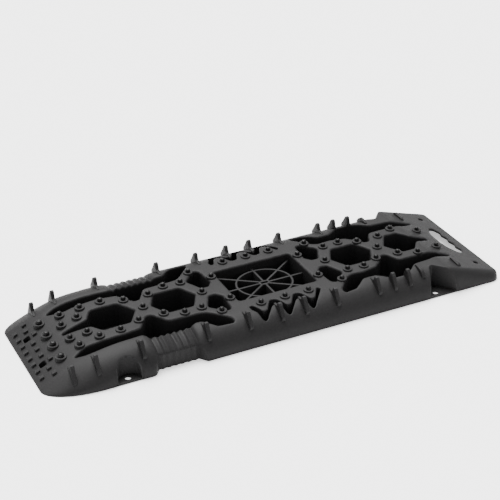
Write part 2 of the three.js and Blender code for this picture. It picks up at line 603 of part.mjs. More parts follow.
// web in the square recess: eight spokes and an oval ring round a hub
const webFoot = PAN + GAP;
function spoke(toX, toY) {
  const run = Math.hypot(toX, toY);
  const w = WEB_RIB / 2;
  const geometry = new THREE.ExtrudeGeometry(outline([[0, -w], [run, -w], [run, w], [0, w]]), {
    depth: WEB_Z - webFoot, bevelEnabled: false,
  });
  geometry.rotateZ(Math.atan2(toY, toX));
  geometry.translate(CENTRE_X, 0, webFoot);
  return solid(geometry);
}
const recess = inset([[CENTRE_X - FRAME_HALF_X, -FRAME_HALF_Y], [CENTRE_X + FRAME_HALF_X, -FRAME_HALF_Y],
  [CENTRE_X + FRAME_HALF_X, FRAME_HALF_Y], [CENTRE_X - FRAME_HALF_X, FRAME_HALF_Y]], GAP);
function oval(grow) {
  const curve = new THREE.EllipseCurve(CENTRE_X, 0, WEB_RING_X + grow, WEB_RING_Y + grow, 0, 2 * Math.PI);
  return curve.getPoints(32).slice(0, -1).map((p) => [p.x, p.y]);
}
let web = prism(oval(WEB_RIB / 2), webFoot, WEB_Z).subtract(prism(oval(-WEB_RIB / 2), 0, HIGH));
const reachX = FRAME_HALF_X + 5;
const reachY = FRAME_HALF_Y + 5;
for (const [x, y] of [[reachX, 0], [reachX, reachY], [0, reachY], [-reachX, reachY], [-reachX, 0],
  [-reachX, -reachY], [0, -reachY], [reachX, -reachY]]) web = web.add(spoke(x, y));
web = web.add(drum(CENTRE_X, 0, WEB_HUB, webFoot, WEB_Z, 16)).intersect(prism(recess, 0, HIGH));
place('centre_web', web);

// tail panel round the hand slot, in four parts
const slotOuter = TAIL_X - SLOT_FROM_TAIL;
const slotInner = slotOuter - SLOT_WIDE;
const tailFrom = TAIL_SPLIT + halfGap;
const fingerEdge = [];
for (let i = 0; i <= 2 * SLOT_FINGERS; i++) {
  const y = -SLOT_HALF_Y + 8 + (i / (2 * SLOT_FINGERS)) * (2 * SLOT_HALF_Y - 16);
  fingerEdge.push([slotOuter + (i % 2 ? SLOT_WAVE : -SLOT_WAVE), y]);
}
const slotPlan = [
  [slotInner + 14, -SLOT_HALF_Y], [slotOuter - 8, -SLOT_HALF_Y], ...fingerEdge, [slotOuter - 8, SLOT_HALF_Y],
  [slotInner + 14, SLOT_HALF_Y], [slotInner + 3, SLOT_HALF_Y - 16], [slotInner, SLOT_HALF_Y - 40],
  [slotInner, -SLOT_HALF_Y + 40], [slotInner + 3, -SLOT_HALF_Y + 16],
];
const slotWall = prism(inset(slotPlan, -WALL), 0, HIGH);
const slotSpace = prism(slotPlan, -1, HIGH);
const slotMid = (slotInner + slotOuter) / 2;
function tailPart(points, holes = []) {
  const plan = inwards(points);
  let body = cup(plan).add(slotWall.intersect(prism(plan, 0, HIGH)).intersect(outer)).subtract(slotSpace);
  for (const [x, y] of holes) {
    const sleeve = drum(x, y, TAIL_HOLE_D / 2 + WALL, 0, HIGH, 20).intersect(outer);
    body = body.add(sleeve).subtract(drum(x, y, TAIL_HOLE_D / 2, -1, HIGH, 20));
  }
  return body;
}
const handY = SLOT_HALF_Y - 6;
place('hand_bridge', tailPart([[tailFrom, -handY], [slotMid, -handY], [slotMid, handY], [tailFrom, handY]]));
place('hand_bar', tailPart([[slotMid, -handY], [TAIL_X + 1, -handY], [TAIL_X + 1, handY], [slotMid, handY]]));
for (const [name, side] of sides) {
  const hole = [TAIL_X - TAIL_HOLE_FROM_TAIL, side * (HALF_Y - TAIL_HOLE_IN)];
  const plan = [[tailFrom, handY], [TAIL_X + 1, handY], [TAIL_X + 1, OUT], [tailFrom, OUT]];
  place(`tail_corner_${name}`, tailPart(onSide(plan, side), [hole]));
}

export default board;
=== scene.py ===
# A rigid traction board for a stuck wheel: one black nylon moulding, about a metre long.
# Lengths in the sections below are in millimetres, and MM takes each finished mesh to metres.
import math
import bmesh
import bpy
import numpy as np
from mathutils import Matrix, Vector, kdtree
from mathutils.geometry import delaunay_2d_cdt, tessellate_polygon


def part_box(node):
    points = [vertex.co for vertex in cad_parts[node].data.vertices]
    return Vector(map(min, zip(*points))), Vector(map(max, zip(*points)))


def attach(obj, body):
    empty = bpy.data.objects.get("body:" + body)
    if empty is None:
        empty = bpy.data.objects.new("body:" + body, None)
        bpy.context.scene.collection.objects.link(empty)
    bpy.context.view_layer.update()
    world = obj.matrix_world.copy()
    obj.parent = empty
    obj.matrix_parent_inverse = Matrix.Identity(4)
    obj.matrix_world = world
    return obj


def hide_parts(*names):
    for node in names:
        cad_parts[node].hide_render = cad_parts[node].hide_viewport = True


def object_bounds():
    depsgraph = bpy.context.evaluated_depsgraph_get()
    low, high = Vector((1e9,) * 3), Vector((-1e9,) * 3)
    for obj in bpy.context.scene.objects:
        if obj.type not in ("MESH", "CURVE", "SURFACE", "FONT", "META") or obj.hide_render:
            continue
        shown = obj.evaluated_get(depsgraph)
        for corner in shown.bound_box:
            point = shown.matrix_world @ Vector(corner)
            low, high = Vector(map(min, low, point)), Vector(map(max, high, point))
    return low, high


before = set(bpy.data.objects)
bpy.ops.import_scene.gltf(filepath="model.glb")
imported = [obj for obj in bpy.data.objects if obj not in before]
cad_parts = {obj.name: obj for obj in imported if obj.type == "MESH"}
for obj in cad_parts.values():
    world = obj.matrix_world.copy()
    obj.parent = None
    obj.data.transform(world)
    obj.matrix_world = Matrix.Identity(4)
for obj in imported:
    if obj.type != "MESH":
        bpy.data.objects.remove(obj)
cad_box = [list(corner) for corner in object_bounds()]

# ---------------------------------------------------------------- outer form of the board
# The top of the moulding is a flat deck with an elliptical shoulder down to each side wall. It runs out
# to a thin nose that slides under the wheel, and slopes down in a straight line to the hand slot.
MM = 0.001
HALF_LONG = cad_box[1][0] / MM
HALF_WIDE = cad_box[1][1] / MM
DECK = 56.7
NOSE_RADIUS = 368
NOSE_FLAT_FROM = -337
NOSE_CORNER_LONG, NOSE_CORNER_WIDE = 120, 51
TAIL_FROM, TAIL_FALL = 397, 0.308
TAIL_CORNER, TAIL_LIP, TAIL_BEND = 22, 5, 8
SHOULDER_WIDE, SHOULDER_DEEP = 62, 52
NOSE_FLAT, CREASE = 109, 0.75
TAIL_FLAT, TAIL_BOX_FROM, TAIL_BOX_RUN = 141, 345, 50
GRIP_FROM, GRIP_TO, GRIP_RAMP = -307, -190, 16
GRIP_DEPTH, GRIP_RIPPLE, GRIP_RIPPLES = 16.3, 1.35, 6
GRIP_LOWER, GRIP_INNER = 6.5, 88

turn = np.linspace(0, math.pi / 2, 61)
section_v = np.concatenate([[0], HALF_WIDE - SHOULDER_WIDE * (1 - np.sin(turn)), [HALF_WIDE]])
section_z = np.concatenate([[DECK], DECK - SHOULDER_DEEP * (1 - np.cos(turn)), [0]])
section_s = np.concatenate([[0], np.cumsum(np.hypot(np.diff(section_v), np.diff(section_z)))])
S_GROUND = section_s[-1]


def deck_height(x):
    run = np.clip(NOSE_FLAT_FROM - x, 0, NOSE_RADIUS)
    nose = NOSE_RADIUS - np.sqrt(NOSE_RADIUS ** 2 - run ** 2)
    past = x - TAIL_FROM
    tail = TAIL_FALL * 0.5 * (past + np.sqrt(past ** 2 + TAIL_BEND ** 2))
    tail = tail - TAIL_FALL * 0.25 * TAIL_BEND ** 2 / (np.abs(past) + TAIL_BEND)
    over = np.clip(x - (HALF_LONG - TAIL_LIP), 0, TAIL_LIP)
    lip = TAIL_LIP - np.sqrt(TAIL_LIP ** 2 - over ** 2)
    return DECK - nose - tail - lip


def nose_share(x):
    """1 at the nose edge, 0 where the full section begins."""
    return np.clip((NOSE_CORNER_LONG - HALF_LONG - x) / NOSE_CORNER_LONG, 0, 1)


def half_width(x):
    into_tail = np.clip(x - (HALF_LONG - TAIL_CORNER), 0, TAIL_CORNER)
    tail = TAIL_CORNER - np.sqrt(TAIL_CORNER ** 2 - into_tail ** 2)
    return HALF_WIDE - NOSE_CORNER_WIDE * (1 - np.sqrt(1 - nose_share(x) ** 2)) - tail


def ease(t):
    t = np.clip(t, 0, 1)
    return t * t * (3 - 2 * t)


def flat_width(x):
    """Half width of the flat part of the deck."""
    full = HALF_WIDE - SHOULDER_WIDE
    wider = (NOSE_FLAT - full) * nose_share(x) + (TAIL_FLAT - full) * ease((x - TAIL_BOX_FROM) / TAIL_BOX_RUN)
    return np.minimum(full + wider, half_width(x) - 1.5) * np.ones_like(x)


def on_board(x, s):
    """Point of the outer form at station x, s along the section from the centre line."""
    x, s = np.asarray(x, float), np.asarray(s, float)
    v = np.interp(np.abs(s), section_s, section_v)
    flat = flat_width(x)
    down = np.clip((v - HALF_WIDE + SHOULDER_WIDE) / SHOULDER_WIDE, 0, 1)
    y = np.where(down > 0, flat + (half_width(x) - flat) * down, v * flat / (HALF_WIDE - SHOULDER_WIDE))
    z = np.interp(np.abs(s), section_s, section_z)
    crease = CREASE * nose_share(x)
    straight = DECK - SHOULDER_DEEP * down
    z = np.where((down > 0) & (down < 1), z + (straight - z) * crease, z) * deck_height(x) / DECK
    grip = ease((x - GRIP_FROM) / GRIP_RAMP) * ease((GRIP_TO - x) / GRIP_RAMP)
    phase = (x - GRIP_FROM - GRIP_RAMP) / (GRIP_TO - GRIP_FROM - 2 * GRIP_RAMP)
    ripple = GRIP_RIPPLE * np.cos(2 * math.pi * GRIP_RIPPLES * phase) * (0.7 + 0.3 * ease(z / 40))
    y = np.minimum(y, HALF_WIDE - grip * (GRIP_DEPTH + ripple))
    low = grip * ease((y - GRIP_INNER) / 14) * (GRIP_LOWER + 1.5 * ripple)
    z = z - low * ease(z / DECK)
    return np.stack([x, np.sign(s) * y, z], axis=-1)


def along_section(x, y):
    """The s of a plan point."""
    flat, full, across = flat_width(x), HALF_WIDE - SHOULDER_WIDE, np.abs(y)
    on_shoulder = full + (across - flat) / (half_width(x) - flat) * SHOULDER_WIDE
    v = np.minimum(np.where(across > flat, on_shoulder, across * full / flat), HALF_WIDE - 1e-6)
    return np.sign(y) * np.interp(v, section_v, section_s)


# ---------------------------------------------------------------- plan of the pockets and channels
# Six-sided pockets, small cells, one square recess and long channels are sunk between the ribs, all with
# rounded corners. Each outline goes anticlockwise and gives [x, y, corner radius].
MID_X = sum(corner[0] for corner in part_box("centre_web")) / 2 / MM
ARC_STEP = math.radians(13)
RUN_STEP = 7


def rounded(corners, closed=True):
    """Points and outward normals of an outline with every corner rounded to its radius."""
    points, normals = [], []
    count = len(corners)
    for i, (x, y, radius) in enumerate(corners):
        here = Vector((x, y))
        if not closed and i in (0, count - 1):
            way = Vector(corners[1][:2]) - here if i == 0 else here - Vector(corners[-2][:2])
            way.normalize()
            points.append(here)
            normals.append(Vector((1 / way.y if abs(way.y) > 1e-6 else 0, 0)))
            continue
        into = (here - Vector(corners[i - 1][:2])).normalized()
        out = (Vector(corners[(i + 1) % count][:2]) - here).normalized()
        bend = math.atan2(into.cross(out), into.dot(out))
        room = 0.49 * min((here - Vector(corners[i - 1][:2])).length,
                          (here - Vector(corners[(i + 1) % count][:2])).length)
        reach = min(radius * abs(math.tan(bend / 2)), room)
        radius = reach / max(abs(math.tan(bend / 2)), 1e-6)
        start = here - into * reach
        side = 1 if bend > 0 else -1
        centre = start + Vector((-into.y, into.x)) * radius * side
        steps = max(2, math.ceil(abs(bend) / ARC_STEP))
        for k in range(steps + 1):
            across = Matrix.Rotation(bend * k / steps, 2) @ Vector((into.y, -into.x))
            points.append(centre + across * radius * side)
            normals.append(across)
    filled_p, filled_n = [], []
    for i in range(len(points) if closed else len(points) - 1):
        a, b = points[i], points[(i + 1) % len(points)]
        steps = max(1, math.ceil((b - a).length / RUN_STEP))
        for k in range(steps):
            filled_p.append(a.lerp(b, k / steps))
            filled_n.append(normals[i] if k == 0 else normals[(i + 1) % len(points)])
    if not closed:
        filled_p.append(points[-1])
        filled_n.append(normals[-1])
    return np.array(filled_p), np.array(filled_n)


def both_halves(corners):
    """An outline whose upper half is given from its right end to its left end on the centre line."""
    lower = [(x, -y, r) for x, y, r in reversed(corners) if y > 0]
    return corners + lower


def other_side(corners):
    return [(x, -y, r) for x, y, r in reversed(corners)]


def other_end(corners):
    return [(2 * MID_X - x, y, r) for x, y, r in reversed(corners)]


pocket_mid = both_halves([(-146, 0, 7), (-167, 39, 9), (-225, 39, 9), (-246, 0, 7)])
pocket_front = both_halves([(-283, 0, 7), (-308, 39, 9), (-367, 40, 12), (-384, 12, 14), (-441, 2.6, 2.4)])
pocket_rear = both_halves([(437, 3, 2.6), (398, 12, 14), (377, 39, 10), (346, 39, 9), (321, 0, 7)])
recess = [(MID_X + 93, -64, 6), (MID_X + 93, 64, 6), (MID_X - 93, 64, 6), (MID_X - 93, -64, 6)]
cell = [(-101, 82, 9), (-112, 86, 7), (-142, 56, 9), (-123, 18, 7), (-107, 18, 7), (-96, 32, 7)]
channel_front = [
    (-447, 85.5, 1.8), (-420, 71, 30), (-397, 73, 40), (-335, 75, 60), (-297, 69, 16), (-284, 50, 16),
    (-272, 33, 9), (-260, 33, 9), (-248, 51, 16), (-237, 69, 14), (-213, 70, 30), (-159, 72, 24),
    (-142, 86, 30), (-116, 113, 12), (-113, 126, 6), (-151, 124, 14), (-163, 114, 16), (-177, 99, 14),
    (-191, 98.5, 10), (-212, 102, 20), (-288, 102, 20), (-306, 92, 16), (-335, 94, 60), (-405, 96, 60),
    (-428, 94, 40),
]
channel_rear = [
    (146, 126, 6), (147, 114, 12), (160, 100, 20), (178, 81, 20), (192, 74, 24), (222, 77, 40),
    (257, 70, 16), (281, 50, 16), (290, 34, 9), (303, 34, 9), (311, 52, 16), (319, 67, 14), (340, 68, 40),
    (382, 68, 60), (411, 67, 40), (449, 81, 1.8), (410, 86, 40), (380, 92, 40), (338, 95, 20),
    (322, 110, 14), (302, 122, 16), (268, 122, 16), (252, 110, 14), (236, 99, 14), (206, 99, 14),
    (192, 111, 16), (176, 123, 14),
]
LOBE_PITCH = 56.4
LOBES = [MID_X + k * LOBE_PITCH for k in (-1, 0, 1)]
channel_side = [(LOBES[0] - 29, 96, 3)]
for x in LOBES:
    channel_side += [(x - 21, 93, 9), (x - 13, 110, 12), (x - 9, 120, 8.5), (x + 2, 120, 9), (x + 22, 89, 10)]
channel_side += [(LOBES[2] + 27, 97, 2.5), (LOBES[2] + 17, 110, 30)]
for x in reversed(LOBES):
    channel_side += [(x - 7, 138, 3), (x - 13, 142, 4), (x - 18, 136, 4), (x - 21, 118, 9)]
    if x != LOBES[0]:
        channel_side += [(x - 28.4, 106.5, 7.5), (x - 40, 111, 9)]
channel_side += [(LOBES[0] - 28, 107, 3)]

RIM, CHANNEL_RIM, PIT_RIM = 5, 2.6, 1.2
PAN = 4
pockets = [(pocket_mid, RIM), (other_end(pocket_mid), RIM), (pocket_front, RIM), (pocket_rear, RIM)]
pockets += [(recess, RIM)]
for outline in (cell, other_end(cell), channel_front, channel_rear):
    pockets += [(outline, RIM), (other_side(outline), RIM)]
pockets += [(channel_side, CHANNEL_RIM), (other_side(channel_side), CHANNEL_RIM)]
snow_pit = [(-495, 41, 3), (-495, 57, 3), (-509, 56, 3), (-509, 42, 3)]
pockets += [(snow_pit, PIT_RIM), (other_side(snow_pit), PIT_RIM)]

SLOT_OUT, SLOT_IN, SLOT_HALF, SLOT_WAVE = 500.5, 467, 60, 3
FINGER = 29.4
slot = [(SLOT_IN + 16, -SLOT_HALF, 5), (SLOT_OUT - 5, -SLOT_HALF - 1, 6)]
for k in range(-3, 4):
    slot.append((SLOT_OUT + (SLOT_WAVE if k % 2 else -SLOT_WAVE), FINGER / 2 * k, 9))
slot += [(SLOT_OUT - 5, SLOT_HALF + 1, 6), (SLOT_IN + 16, SLOT_HALF, 5), (SLOT_IN + 3, 36, 30)]
slot += [(SLOT_IN, 14, 60), (SLOT_IN, -14, 60), (SLOT_IN + 3, -36, 30)]
CORD_X, CORD_Y, CORD_R = 494, 111.5, 6.5
cord_hole = [(CORD_X + CORD_R * math.cos(a), CORD_Y + CORD_R * math.sin(a), 6)
             for a in np.arange(8) * math.pi / 4]
# each hole as outline, rim radius and depth of its wall
SLOT_RIM, CORD_RIM = 3, 1.6
holes = [(slot, SLOT_RIM, 3), (cord_hole, CORD_RIM, 8), (other_side(cord_hole), CORD_RIM, 8)]

# open outlines over the bolt-down lugs, from low x to high x on the left side
SCOOP_X, SCOOP_R = -361, 25
scoop = [(SCOOP_X - SCOOP_R, HALF_WIDE, 0)]
for k in range(1, 8):
    a = math.pi + k * math.pi / 8
    scoop.append((SCOOP_X + SCOOP_R * 1.02 * math.cos(a), HALF_WIDE + SCOOP_R * 1.02 * math.sin(a), 26))
scoop.append((SCOOP_X + SCOOP_R, HALF_WIDE, 0))
NOTCH_X = 343
notch = [(NOTCH_X, HALF_WIDE, 0), (NOTCH_X + 18, 123, 6), (NOTCH_X + 26, 118, 6),
         (NOTCH_X + 68, HALF_WIDE, 0)]
SCOOP_RIM, NOTCH_RIM = 4.5, 2.2
notches = [(scoop, SCOOP_RIM), (notch, NOTCH_RIM)]

# ---------------------------------------------------------------- the skin
# One nylon skin of even thickness makes deck, ribs, rails, pocket walls and floor. Its rims are rounded
# over, and the underside is left hollow, as it comes off the mould.
SKIN = 4
DRAFT = 0.8
RIM_STEPS = 5
WALL_STEPS = 3

points = []
faces = []
rim_wear_and_highlight_marks = []


def add_points(coords, wear_and_highlight_mark=0.0):
    first = len(points)
    points.extend(coords)
    rim_wear_and_highlight_marks.extend([wear_and_highlight_mark] * len(coords))
    return list(range(first, len(points)))


def join_rings(upper, lower, closed):
    count = len(upper)
    for i in range(count if closed else count - 1):
        j = (i + 1) % count
        faces.append((upper[i], upper[j], lower[j], lower[i]))


def sink(outline, rim, closed=True, floor=None, deep=None):
    """Rounds the skin over into an opening and down its wall. Returns the plan and the top ring."""
    plan, normal = rounded(outline, closed)
    upper = top = None
    for k in range(RIM_STEPS + 1):
        a = k / RIM_STEPS * math.pi / 2
        at = plan + normal * rim * (1 - math.sin(a))
        s = along_section(at[:, 0], at[:, 1])
        ring = on_board(at[:, 0], s)
        ring[:, 2] = np.maximum(ring[:, 2] - rim * (1 - math.cos(a)), 0.02)
        # The middle of each rounded rim gets the pale mark: partly rubbing wear, partly painted highlight.
        lower = add_points(ring, math.sin(2 * a) ** 2)
        if upper:
            join_rings(upper, lower, closed)
        else:
            top = (at[:, 0], s, lower)
        upper = lower
    bottom = PAN if floor is None else floor
    height = ring[:, 2] - bottom if deep is None else deep
    for k in range(1, WALL_STEPS + 1):
        share = k / WALL_STEPS
        at = plan - normal * (DRAFT * share if floor is None else 0)
        lower = add_points(np.column_stack([at, ring[:, 2] - height * share]))
        join_rings(upper, lower, closed)
        upper = lower
    if floor is None:
        ring = [Vector(points[i]) for i in upper]
        for a, b, c in tessellate_polygon([ring]):
            if (ring[b] - ring[a]).cross(ring[c] - ring[a]).z < 0:
                b, c = c, b
            faces.append((upper[a], upper[b], upper[c]))
    return top


def inside(px, py, ox, oy):
    """Which points lie inside a closed outline."""
    hit = np.zeros(len(px), bool)
    for x0, y0, x1, y1 in zip(ox, oy, np.roll(ox, -1), np.roll(oy, -1)):
        if y0 == y1:
            continue
        crosses = (y0 > py) != (y1 > py)
        hit ^= crosses & (px < (x1 - x0) * (py - y0) / (y1 - y0) + x0)
    return hit


openings = [sink(outline, rim) for outline, rim in pockets]
openings += [sink(outline, rim, floor=0, deep=deep) for outline, rim, deep in holes]

# the outer edge runs along the ground, round both ends, and over the lug notches
def ground_line(x0, x1, side):
    stations = [x0]
    while stations[-1] < x1 - 1e-6:
        fine = GRIP_FROM - 2 <= stations[-1] < GRIP_TO + 2 or stations[-1] < NOSE_CORNER_LONG / 3 - HALF_LONG
        stations.append(min(x1, stations[-1] + (2.4 if fine else RUN_STEP)))
    x = np.array(stations)
    return x, np.full(len(x), side * S_GROUND)


def side_edge(side):
    """One long edge of the board from the nose to the tail, as x, s and point numbers."""
    xs, ss, ids = [], [], []
    start = -HALF_LONG
    for outline, rim in notches:
        path = outline if side > 0 else other_side(outline)
        nx, ns, nid = sink(path, rim, closed=False, floor=0)
        if side < 0:
            nx, ns, nid = nx[::-1], ns[::-1], nid[::-1]
        gx, gs = ground_line(start, nx[0], side)
        xs += [gx, nx]
        ss += [gs, ns]
        ids += add_points(on_board(gx, gs)) + list(nid)
        start = nx[-1]
    gx, gs = ground_line(start, HALF_LONG, side)
    return (np.concatenate(xs + [gx]), np.concatenate(ss + [gs]), ids + add_points(on_board(gx, gs)))


def end_edge(x):
    """The nose or tail edge without its two corners, and the short wall below it."""
    s = np.linspace(-S_GROUND, S_GROUND, 59)
    top = on_board(np.full(len(s), x), s)
    ids = add_points(top)
    foot = add_points(top * (1, 1, 0))
    join_rings(ids, foot, False) if x < 0 else join_rings(foot, ids, False)
    return np.full(len(s) - 2, x), s[1:-1], ids[1:-1]


right, left = side_edge(-1), side_edge(1)
nose_edge, tail_edge = end_edge(-HALF_LONG), end_edge(HALF_LONG)
edge_x = np.concatenate([right[0], tail_edge[0], left[0][::-1], nose_edge[0][::-1]])
edge_s = np.concatenate([right[1], tail_edge[1], left[1][::-1], nose_edge[1][::-1]])
edge_ids = right[2] + list(tail_edge[2]) + left[2][::-1] + list(nose_edge[2])[::-1]

# the face between all those edges is filled with an even net of triangles
NET, NET_FINE, GRIP_NET_FROM = 7, 3, 104
END_BAND = 16
flat = [(x, s) for x, s in zip(edge_x, edge_s)]
number = list(edge_ids)
loops = [list(range(len(flat)))]
for x, s, ids in openings:
    loops.append(list(range(len(flat), len(flat) + len(ids))))
    flat += list(zip(x, s))
    number += ids
tree = kdtree.KDTree(len(flat))
for i, (x, s) in enumerate(flat):
    tree.insert((x, s, 0), i)
tree.balance()
net = []
for row, s in enumerate(np.arange(-S_GROUND, S_GROUND, NET * 0.87)):
    for x in np.arange(-HALF_LONG + NET / 2 * (row % 2), HALF_LONG, NET):
        net.append((x, s, NET * 0.55))
outer = np.arange(GRIP_NET_FROM, S_GROUND, NET * 0.7)
for s in np.concatenate([outer, -outer]):
    for x in np.arange(GRIP_FROM, GRIP_TO, NET_FINE):
        net.append((x, s, NET_FINE * 0.55))
for inset in (0.5, 1.3, 2.4, 3.7, 5.2, 7.2, 10, 14):
    for s in np.arange(-S_GROUND + 1, S_GROUND, 3.5):
        net.append((HALF_LONG - inset, s, 0.4))
        net.append((inset - HALF_LONG, s, 0.4))
net = np.array(net)
keep = inside(net[:, 0], net[:, 1], edge_x, edge_s)
for x, s, ids in openings:
    keep &= ~inside(net[:, 0], net[:, 1], x, s)
keep &= [tree.find((x, s, 0))[2] > room for x, s, room in net]
near_end = np.abs(net[:, 0]) > HALF_LONG - END_BAND
on_grip = (net[:, 0] > GRIP_FROM - 1) & (net[:, 0] < GRIP_TO + 1) & (np.abs(net[:, 1]) > GRIP_NET_FROM - 2)
net = net[keep & ~(near_end & (net[:, 2] > 1)) & ~(on_grip & (net[:, 2] > 3))]
flat += [(x, s) for x, s, room in net]
number += add_points(on_board(net[:, 0], net[:, 1]))
rings = [(loop[i], loop[(i + 1) % len(loop)]) for loop in loops for i in range(len(loop))]
made = delaunay_2d_cdt([Vector(p) for p in flat], rings, [], 0, 1e-5)
came_from = [origin[0] if origin else None for origin in made[3]]
tri = np.array(made[2])
at = np.array([tuple(v) for v in made[0]])
mid = at[tri].mean(axis=1)
keep = inside(mid[:, 0], mid[:, 1], edge_x, edge_s)
for x, s, ids in openings:
    keep &= ~inside(mid[:, 0], mid[:, 1], x, s)
for a, b, c in tri[keep]:
    faces.append(tuple(number[came_from[i]] for i in (a, b, c)))

mesh = bpy.data.meshes.new("board_skin")
mesh.from_pydata([tuple(p) for p in points], [], faces)
wear_and_highlight_mark = mesh.attributes.new("rim", "FLOAT", "POINT")
wear_and_highlight_mark.data.foreach_set("value", rim_wear_and_highlight_marks)
work = bmesh.new()
work.from_mesh(mesh)
bmesh.ops.remove_doubles(work, verts=work.verts, dist=0.03)
bmesh.ops.dissolve_degenerate(work, edges=work.edges, dist=0.01)
work.to_mesh(mesh)
work.free()
skin = bpy.data.objects.new("board_skin", mesh)
bpy.context.scene.collection.objects.link(skin)
shell = skin.modifiers.new("skin", "SOLIDIFY")
shell.thickness = SKIN
shell.offset = -1
shell.use_even_offset = True
shell.thickness_clamp = 0


def settle(piece, smooth=35):
    """Applies a piece's modifiers, takes it from millimetres to metres and shades it."""
    made = bpy.data.meshes.new_from_object(piece.evaluated_get(bpy.context.evaluated_depsgraph_get()))
    piece.modifiers.clear()
    piece.data = made
    made.transform(Matrix.Scale(MM, 4))
    made.shade_smooth()
    made.set_sharp_from_angle(angle=math.radians(smooth))
    return piece


settle(skin)
coords = np.empty(len(skin.data.vertices) * 3)
skin.data.vertices.foreach_get("co", coords)
coords[2::3] = np.maximum(coords[2::3], 0)
skin.data.vertices.foreach_set("co", coords)
skin.data.update()

# Black nylon with a fine spark-eroded grain. Along the marked rims it is painted a little paler: partly
# rubbing wear, partly painted highlight.
def black_nylon(name, lightness=1.0, roughness=0.56):
    material = bpy.data.materials.new(name)
    material.use_nodes = True
    nodes, links = material.node_tree.nodes, material.node_tree.links
    shader = nodes["Principled BSDF"]
    shader.inputs["IOR"].default_value = 1.5
    shader.inputs["Specular IOR Level"].default_value = 0.12
    place = nodes.new("ShaderNodeTexCoord")

    def noise(scale, detail, rough=0.6):
        node = nodes.new("ShaderNodeTexNoise")
        node.inputs["Scale"].default_value = scale
        node.inputs["Detail"].default_value = detail
        node.inputs["Roughness"].default_value = rough
        links.new(place.outputs["Object"], node.inputs["Vector"])
        return node.outputs["Fac"]

    def ramp(source, low, high, at=(0.35, 0.65)):
        node = nodes.new("ShaderNodeValToRGB")
        for stop, place_at, colour in zip(node.color_ramp.elements, at, (low, high)):
            stop.position = place_at
            stop.color = (*(lightness * c for c in colour), 1)
        links.new(source, node.inputs["Fac"])
        return node.outputs["Color"]

    def blend(kind, amount, a, b):
        node = nodes.new("ShaderNodeMix")
        node.data_type = "RGBA"
        node.blend_type = kind
        links.new(a, node.inputs["A"])
        links.new(b, node.inputs["B"])
        if isinstance(amount, float):
            node.inputs["Factor"].default_value = amount
        else:
            links.new(amount, node.inputs["Factor"])
        return node.outputs["Result"]

    def scaled(source, low, high, clamp_low=0.0, clamp_high=1.0):
        node = nodes.new("ShaderNodeMapRange")
        node.inputs["From Min"].default_value = clamp_low
        node.inputs["From Max"].default_value = clamp_high
        node.inputs["To Min"].default_value = low
        node.inputs["To Max"].default_value = high
        links.new(source, node.inputs["Value"])
        return node.outputs["Result"]

    cloud, speck, grain = noise(9, 4), noise(260, 3), noise(1500, 2)
    body = ramp(cloud, (0.0070, 0.0068, 0.0070), (0.0100, 0.0096, 0.0098))
    flecks = ramp(speck, (0.0060, 0.0058, 0.0060), (0.0125, 0.0120, 0.0123))
    colour = blend("MIX", 0.35, body, flecks)
    # Pale patches along the marked rims: partly rubbing wear, partly painted highlight where rims and tops
    # catch the light.
    rim = nodes.new("ShaderNodeAttribute")
    rim.attribute_name = "rim"
    wear_and_highlight_share = nodes.new("ShaderNodeMath")
    wear_and_highlight_share.operation = "MULTIPLY"
    links.new(rim.outputs["Fac"], wear_and_highlight_share.inputs[0])
    links.new(scaled(noise(70, 5, 0.7), 0.0, 0.75, 0.42, 0.66), wear_and_highlight_share.inputs[1])
    worn_and_highlight_colour = ramp(speck, (0.018, 0.0178, 0.0185), (0.028, 0.0276, 0.0290))
    colour = blend("MIX", wear_and_highlight_share.outputs["Value"], colour, worn_and_highlight_colour)
    links.new(colour, shader.inputs["Base Color"])
    uneven = scaled(blend("MIX", 0.5, cloud, speck), roughness - 0.08, roughness + 0.10)
    links.new(uneven, shader.inputs["Roughness"])
    bump = nodes.new("ShaderNodeBump")
    bump.inputs["Strength"].default_value = 0.35
    bump.inputs["Distance"].default_value = 0.0004
    links.new(grain, bump.inputs["Height"])
    wave = nodes.new("ShaderNodeBump")
    wave.inputs["Strength"].default_value = 0.25
    wave.inputs["Distance"].default_value = 0.0015
    links.new(noise(45, 2), wave.inputs["Height"])
    links.new(bump.outputs["Normal"], wave.inputs["Normal"])
    links.new(wave.outputs["Normal"], shader.inputs["Normal"])
    return material


nylon = black_nylon("black_nylon")
skin.data.materials.clear()
skin.data.materials.append(nylon)
apart = [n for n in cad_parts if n.startswith(("centre_web", "front_lug", "rear_lug"))]
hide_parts(*[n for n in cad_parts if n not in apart])
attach(skin, "root")

# ---------------------------------------------------------------- bolt-down lugs
# A flat tab stands at the foot of each side notch, level with the ground, with one round hole for a
# screw or a peg. It is moulded in one with the wall behind it.
LUG_THICK, LUG_EDGE = 4.5, 0.8
LUG_HOLE_R = 6.6


def plate(name, loops, low, high, edge, steps=2):
    """A flat plate with bevelled edges from plan outlines; inner outlines are its holes."""
    curve = bpy.data.curves.new(name, "CURVE")
    curve.dimensions = "2D"
    curve.fill_mode = "BOTH"
    curve.extrude = (high - low) / 2 - edge
    curve.bevel_depth = edge
    curve.bevel_resolution = steps
    curve.offset = -edge
    for loop in loops:
        spline = curve.splines.new("POLY")
        spline.points.add(len(loop) - 1)
        for point, (x, y) in zip(spline.points, loop):
            point.co = (x, y, 0, 1)
        spline.use_cyclic_u = True
    holder = bpy.data.objects.new(name, curve)
    made = bpy.data.meshes.new_from_object(holder)
    bpy.data.objects.remove(holder)
    made.transform(Matrix.Translation((0, 0, (high + low) / 2)))
    tidy = bmesh.new()
    tidy.from_mesh(made)
    bmesh.ops.remove_doubles(tidy, verts=tidy.verts, dist=0.001)
    bmesh.ops.recalc_face_normals(tidy, faces=tidy.faces)
    tidy.to_mesh(made)
    tidy.free()
    return made


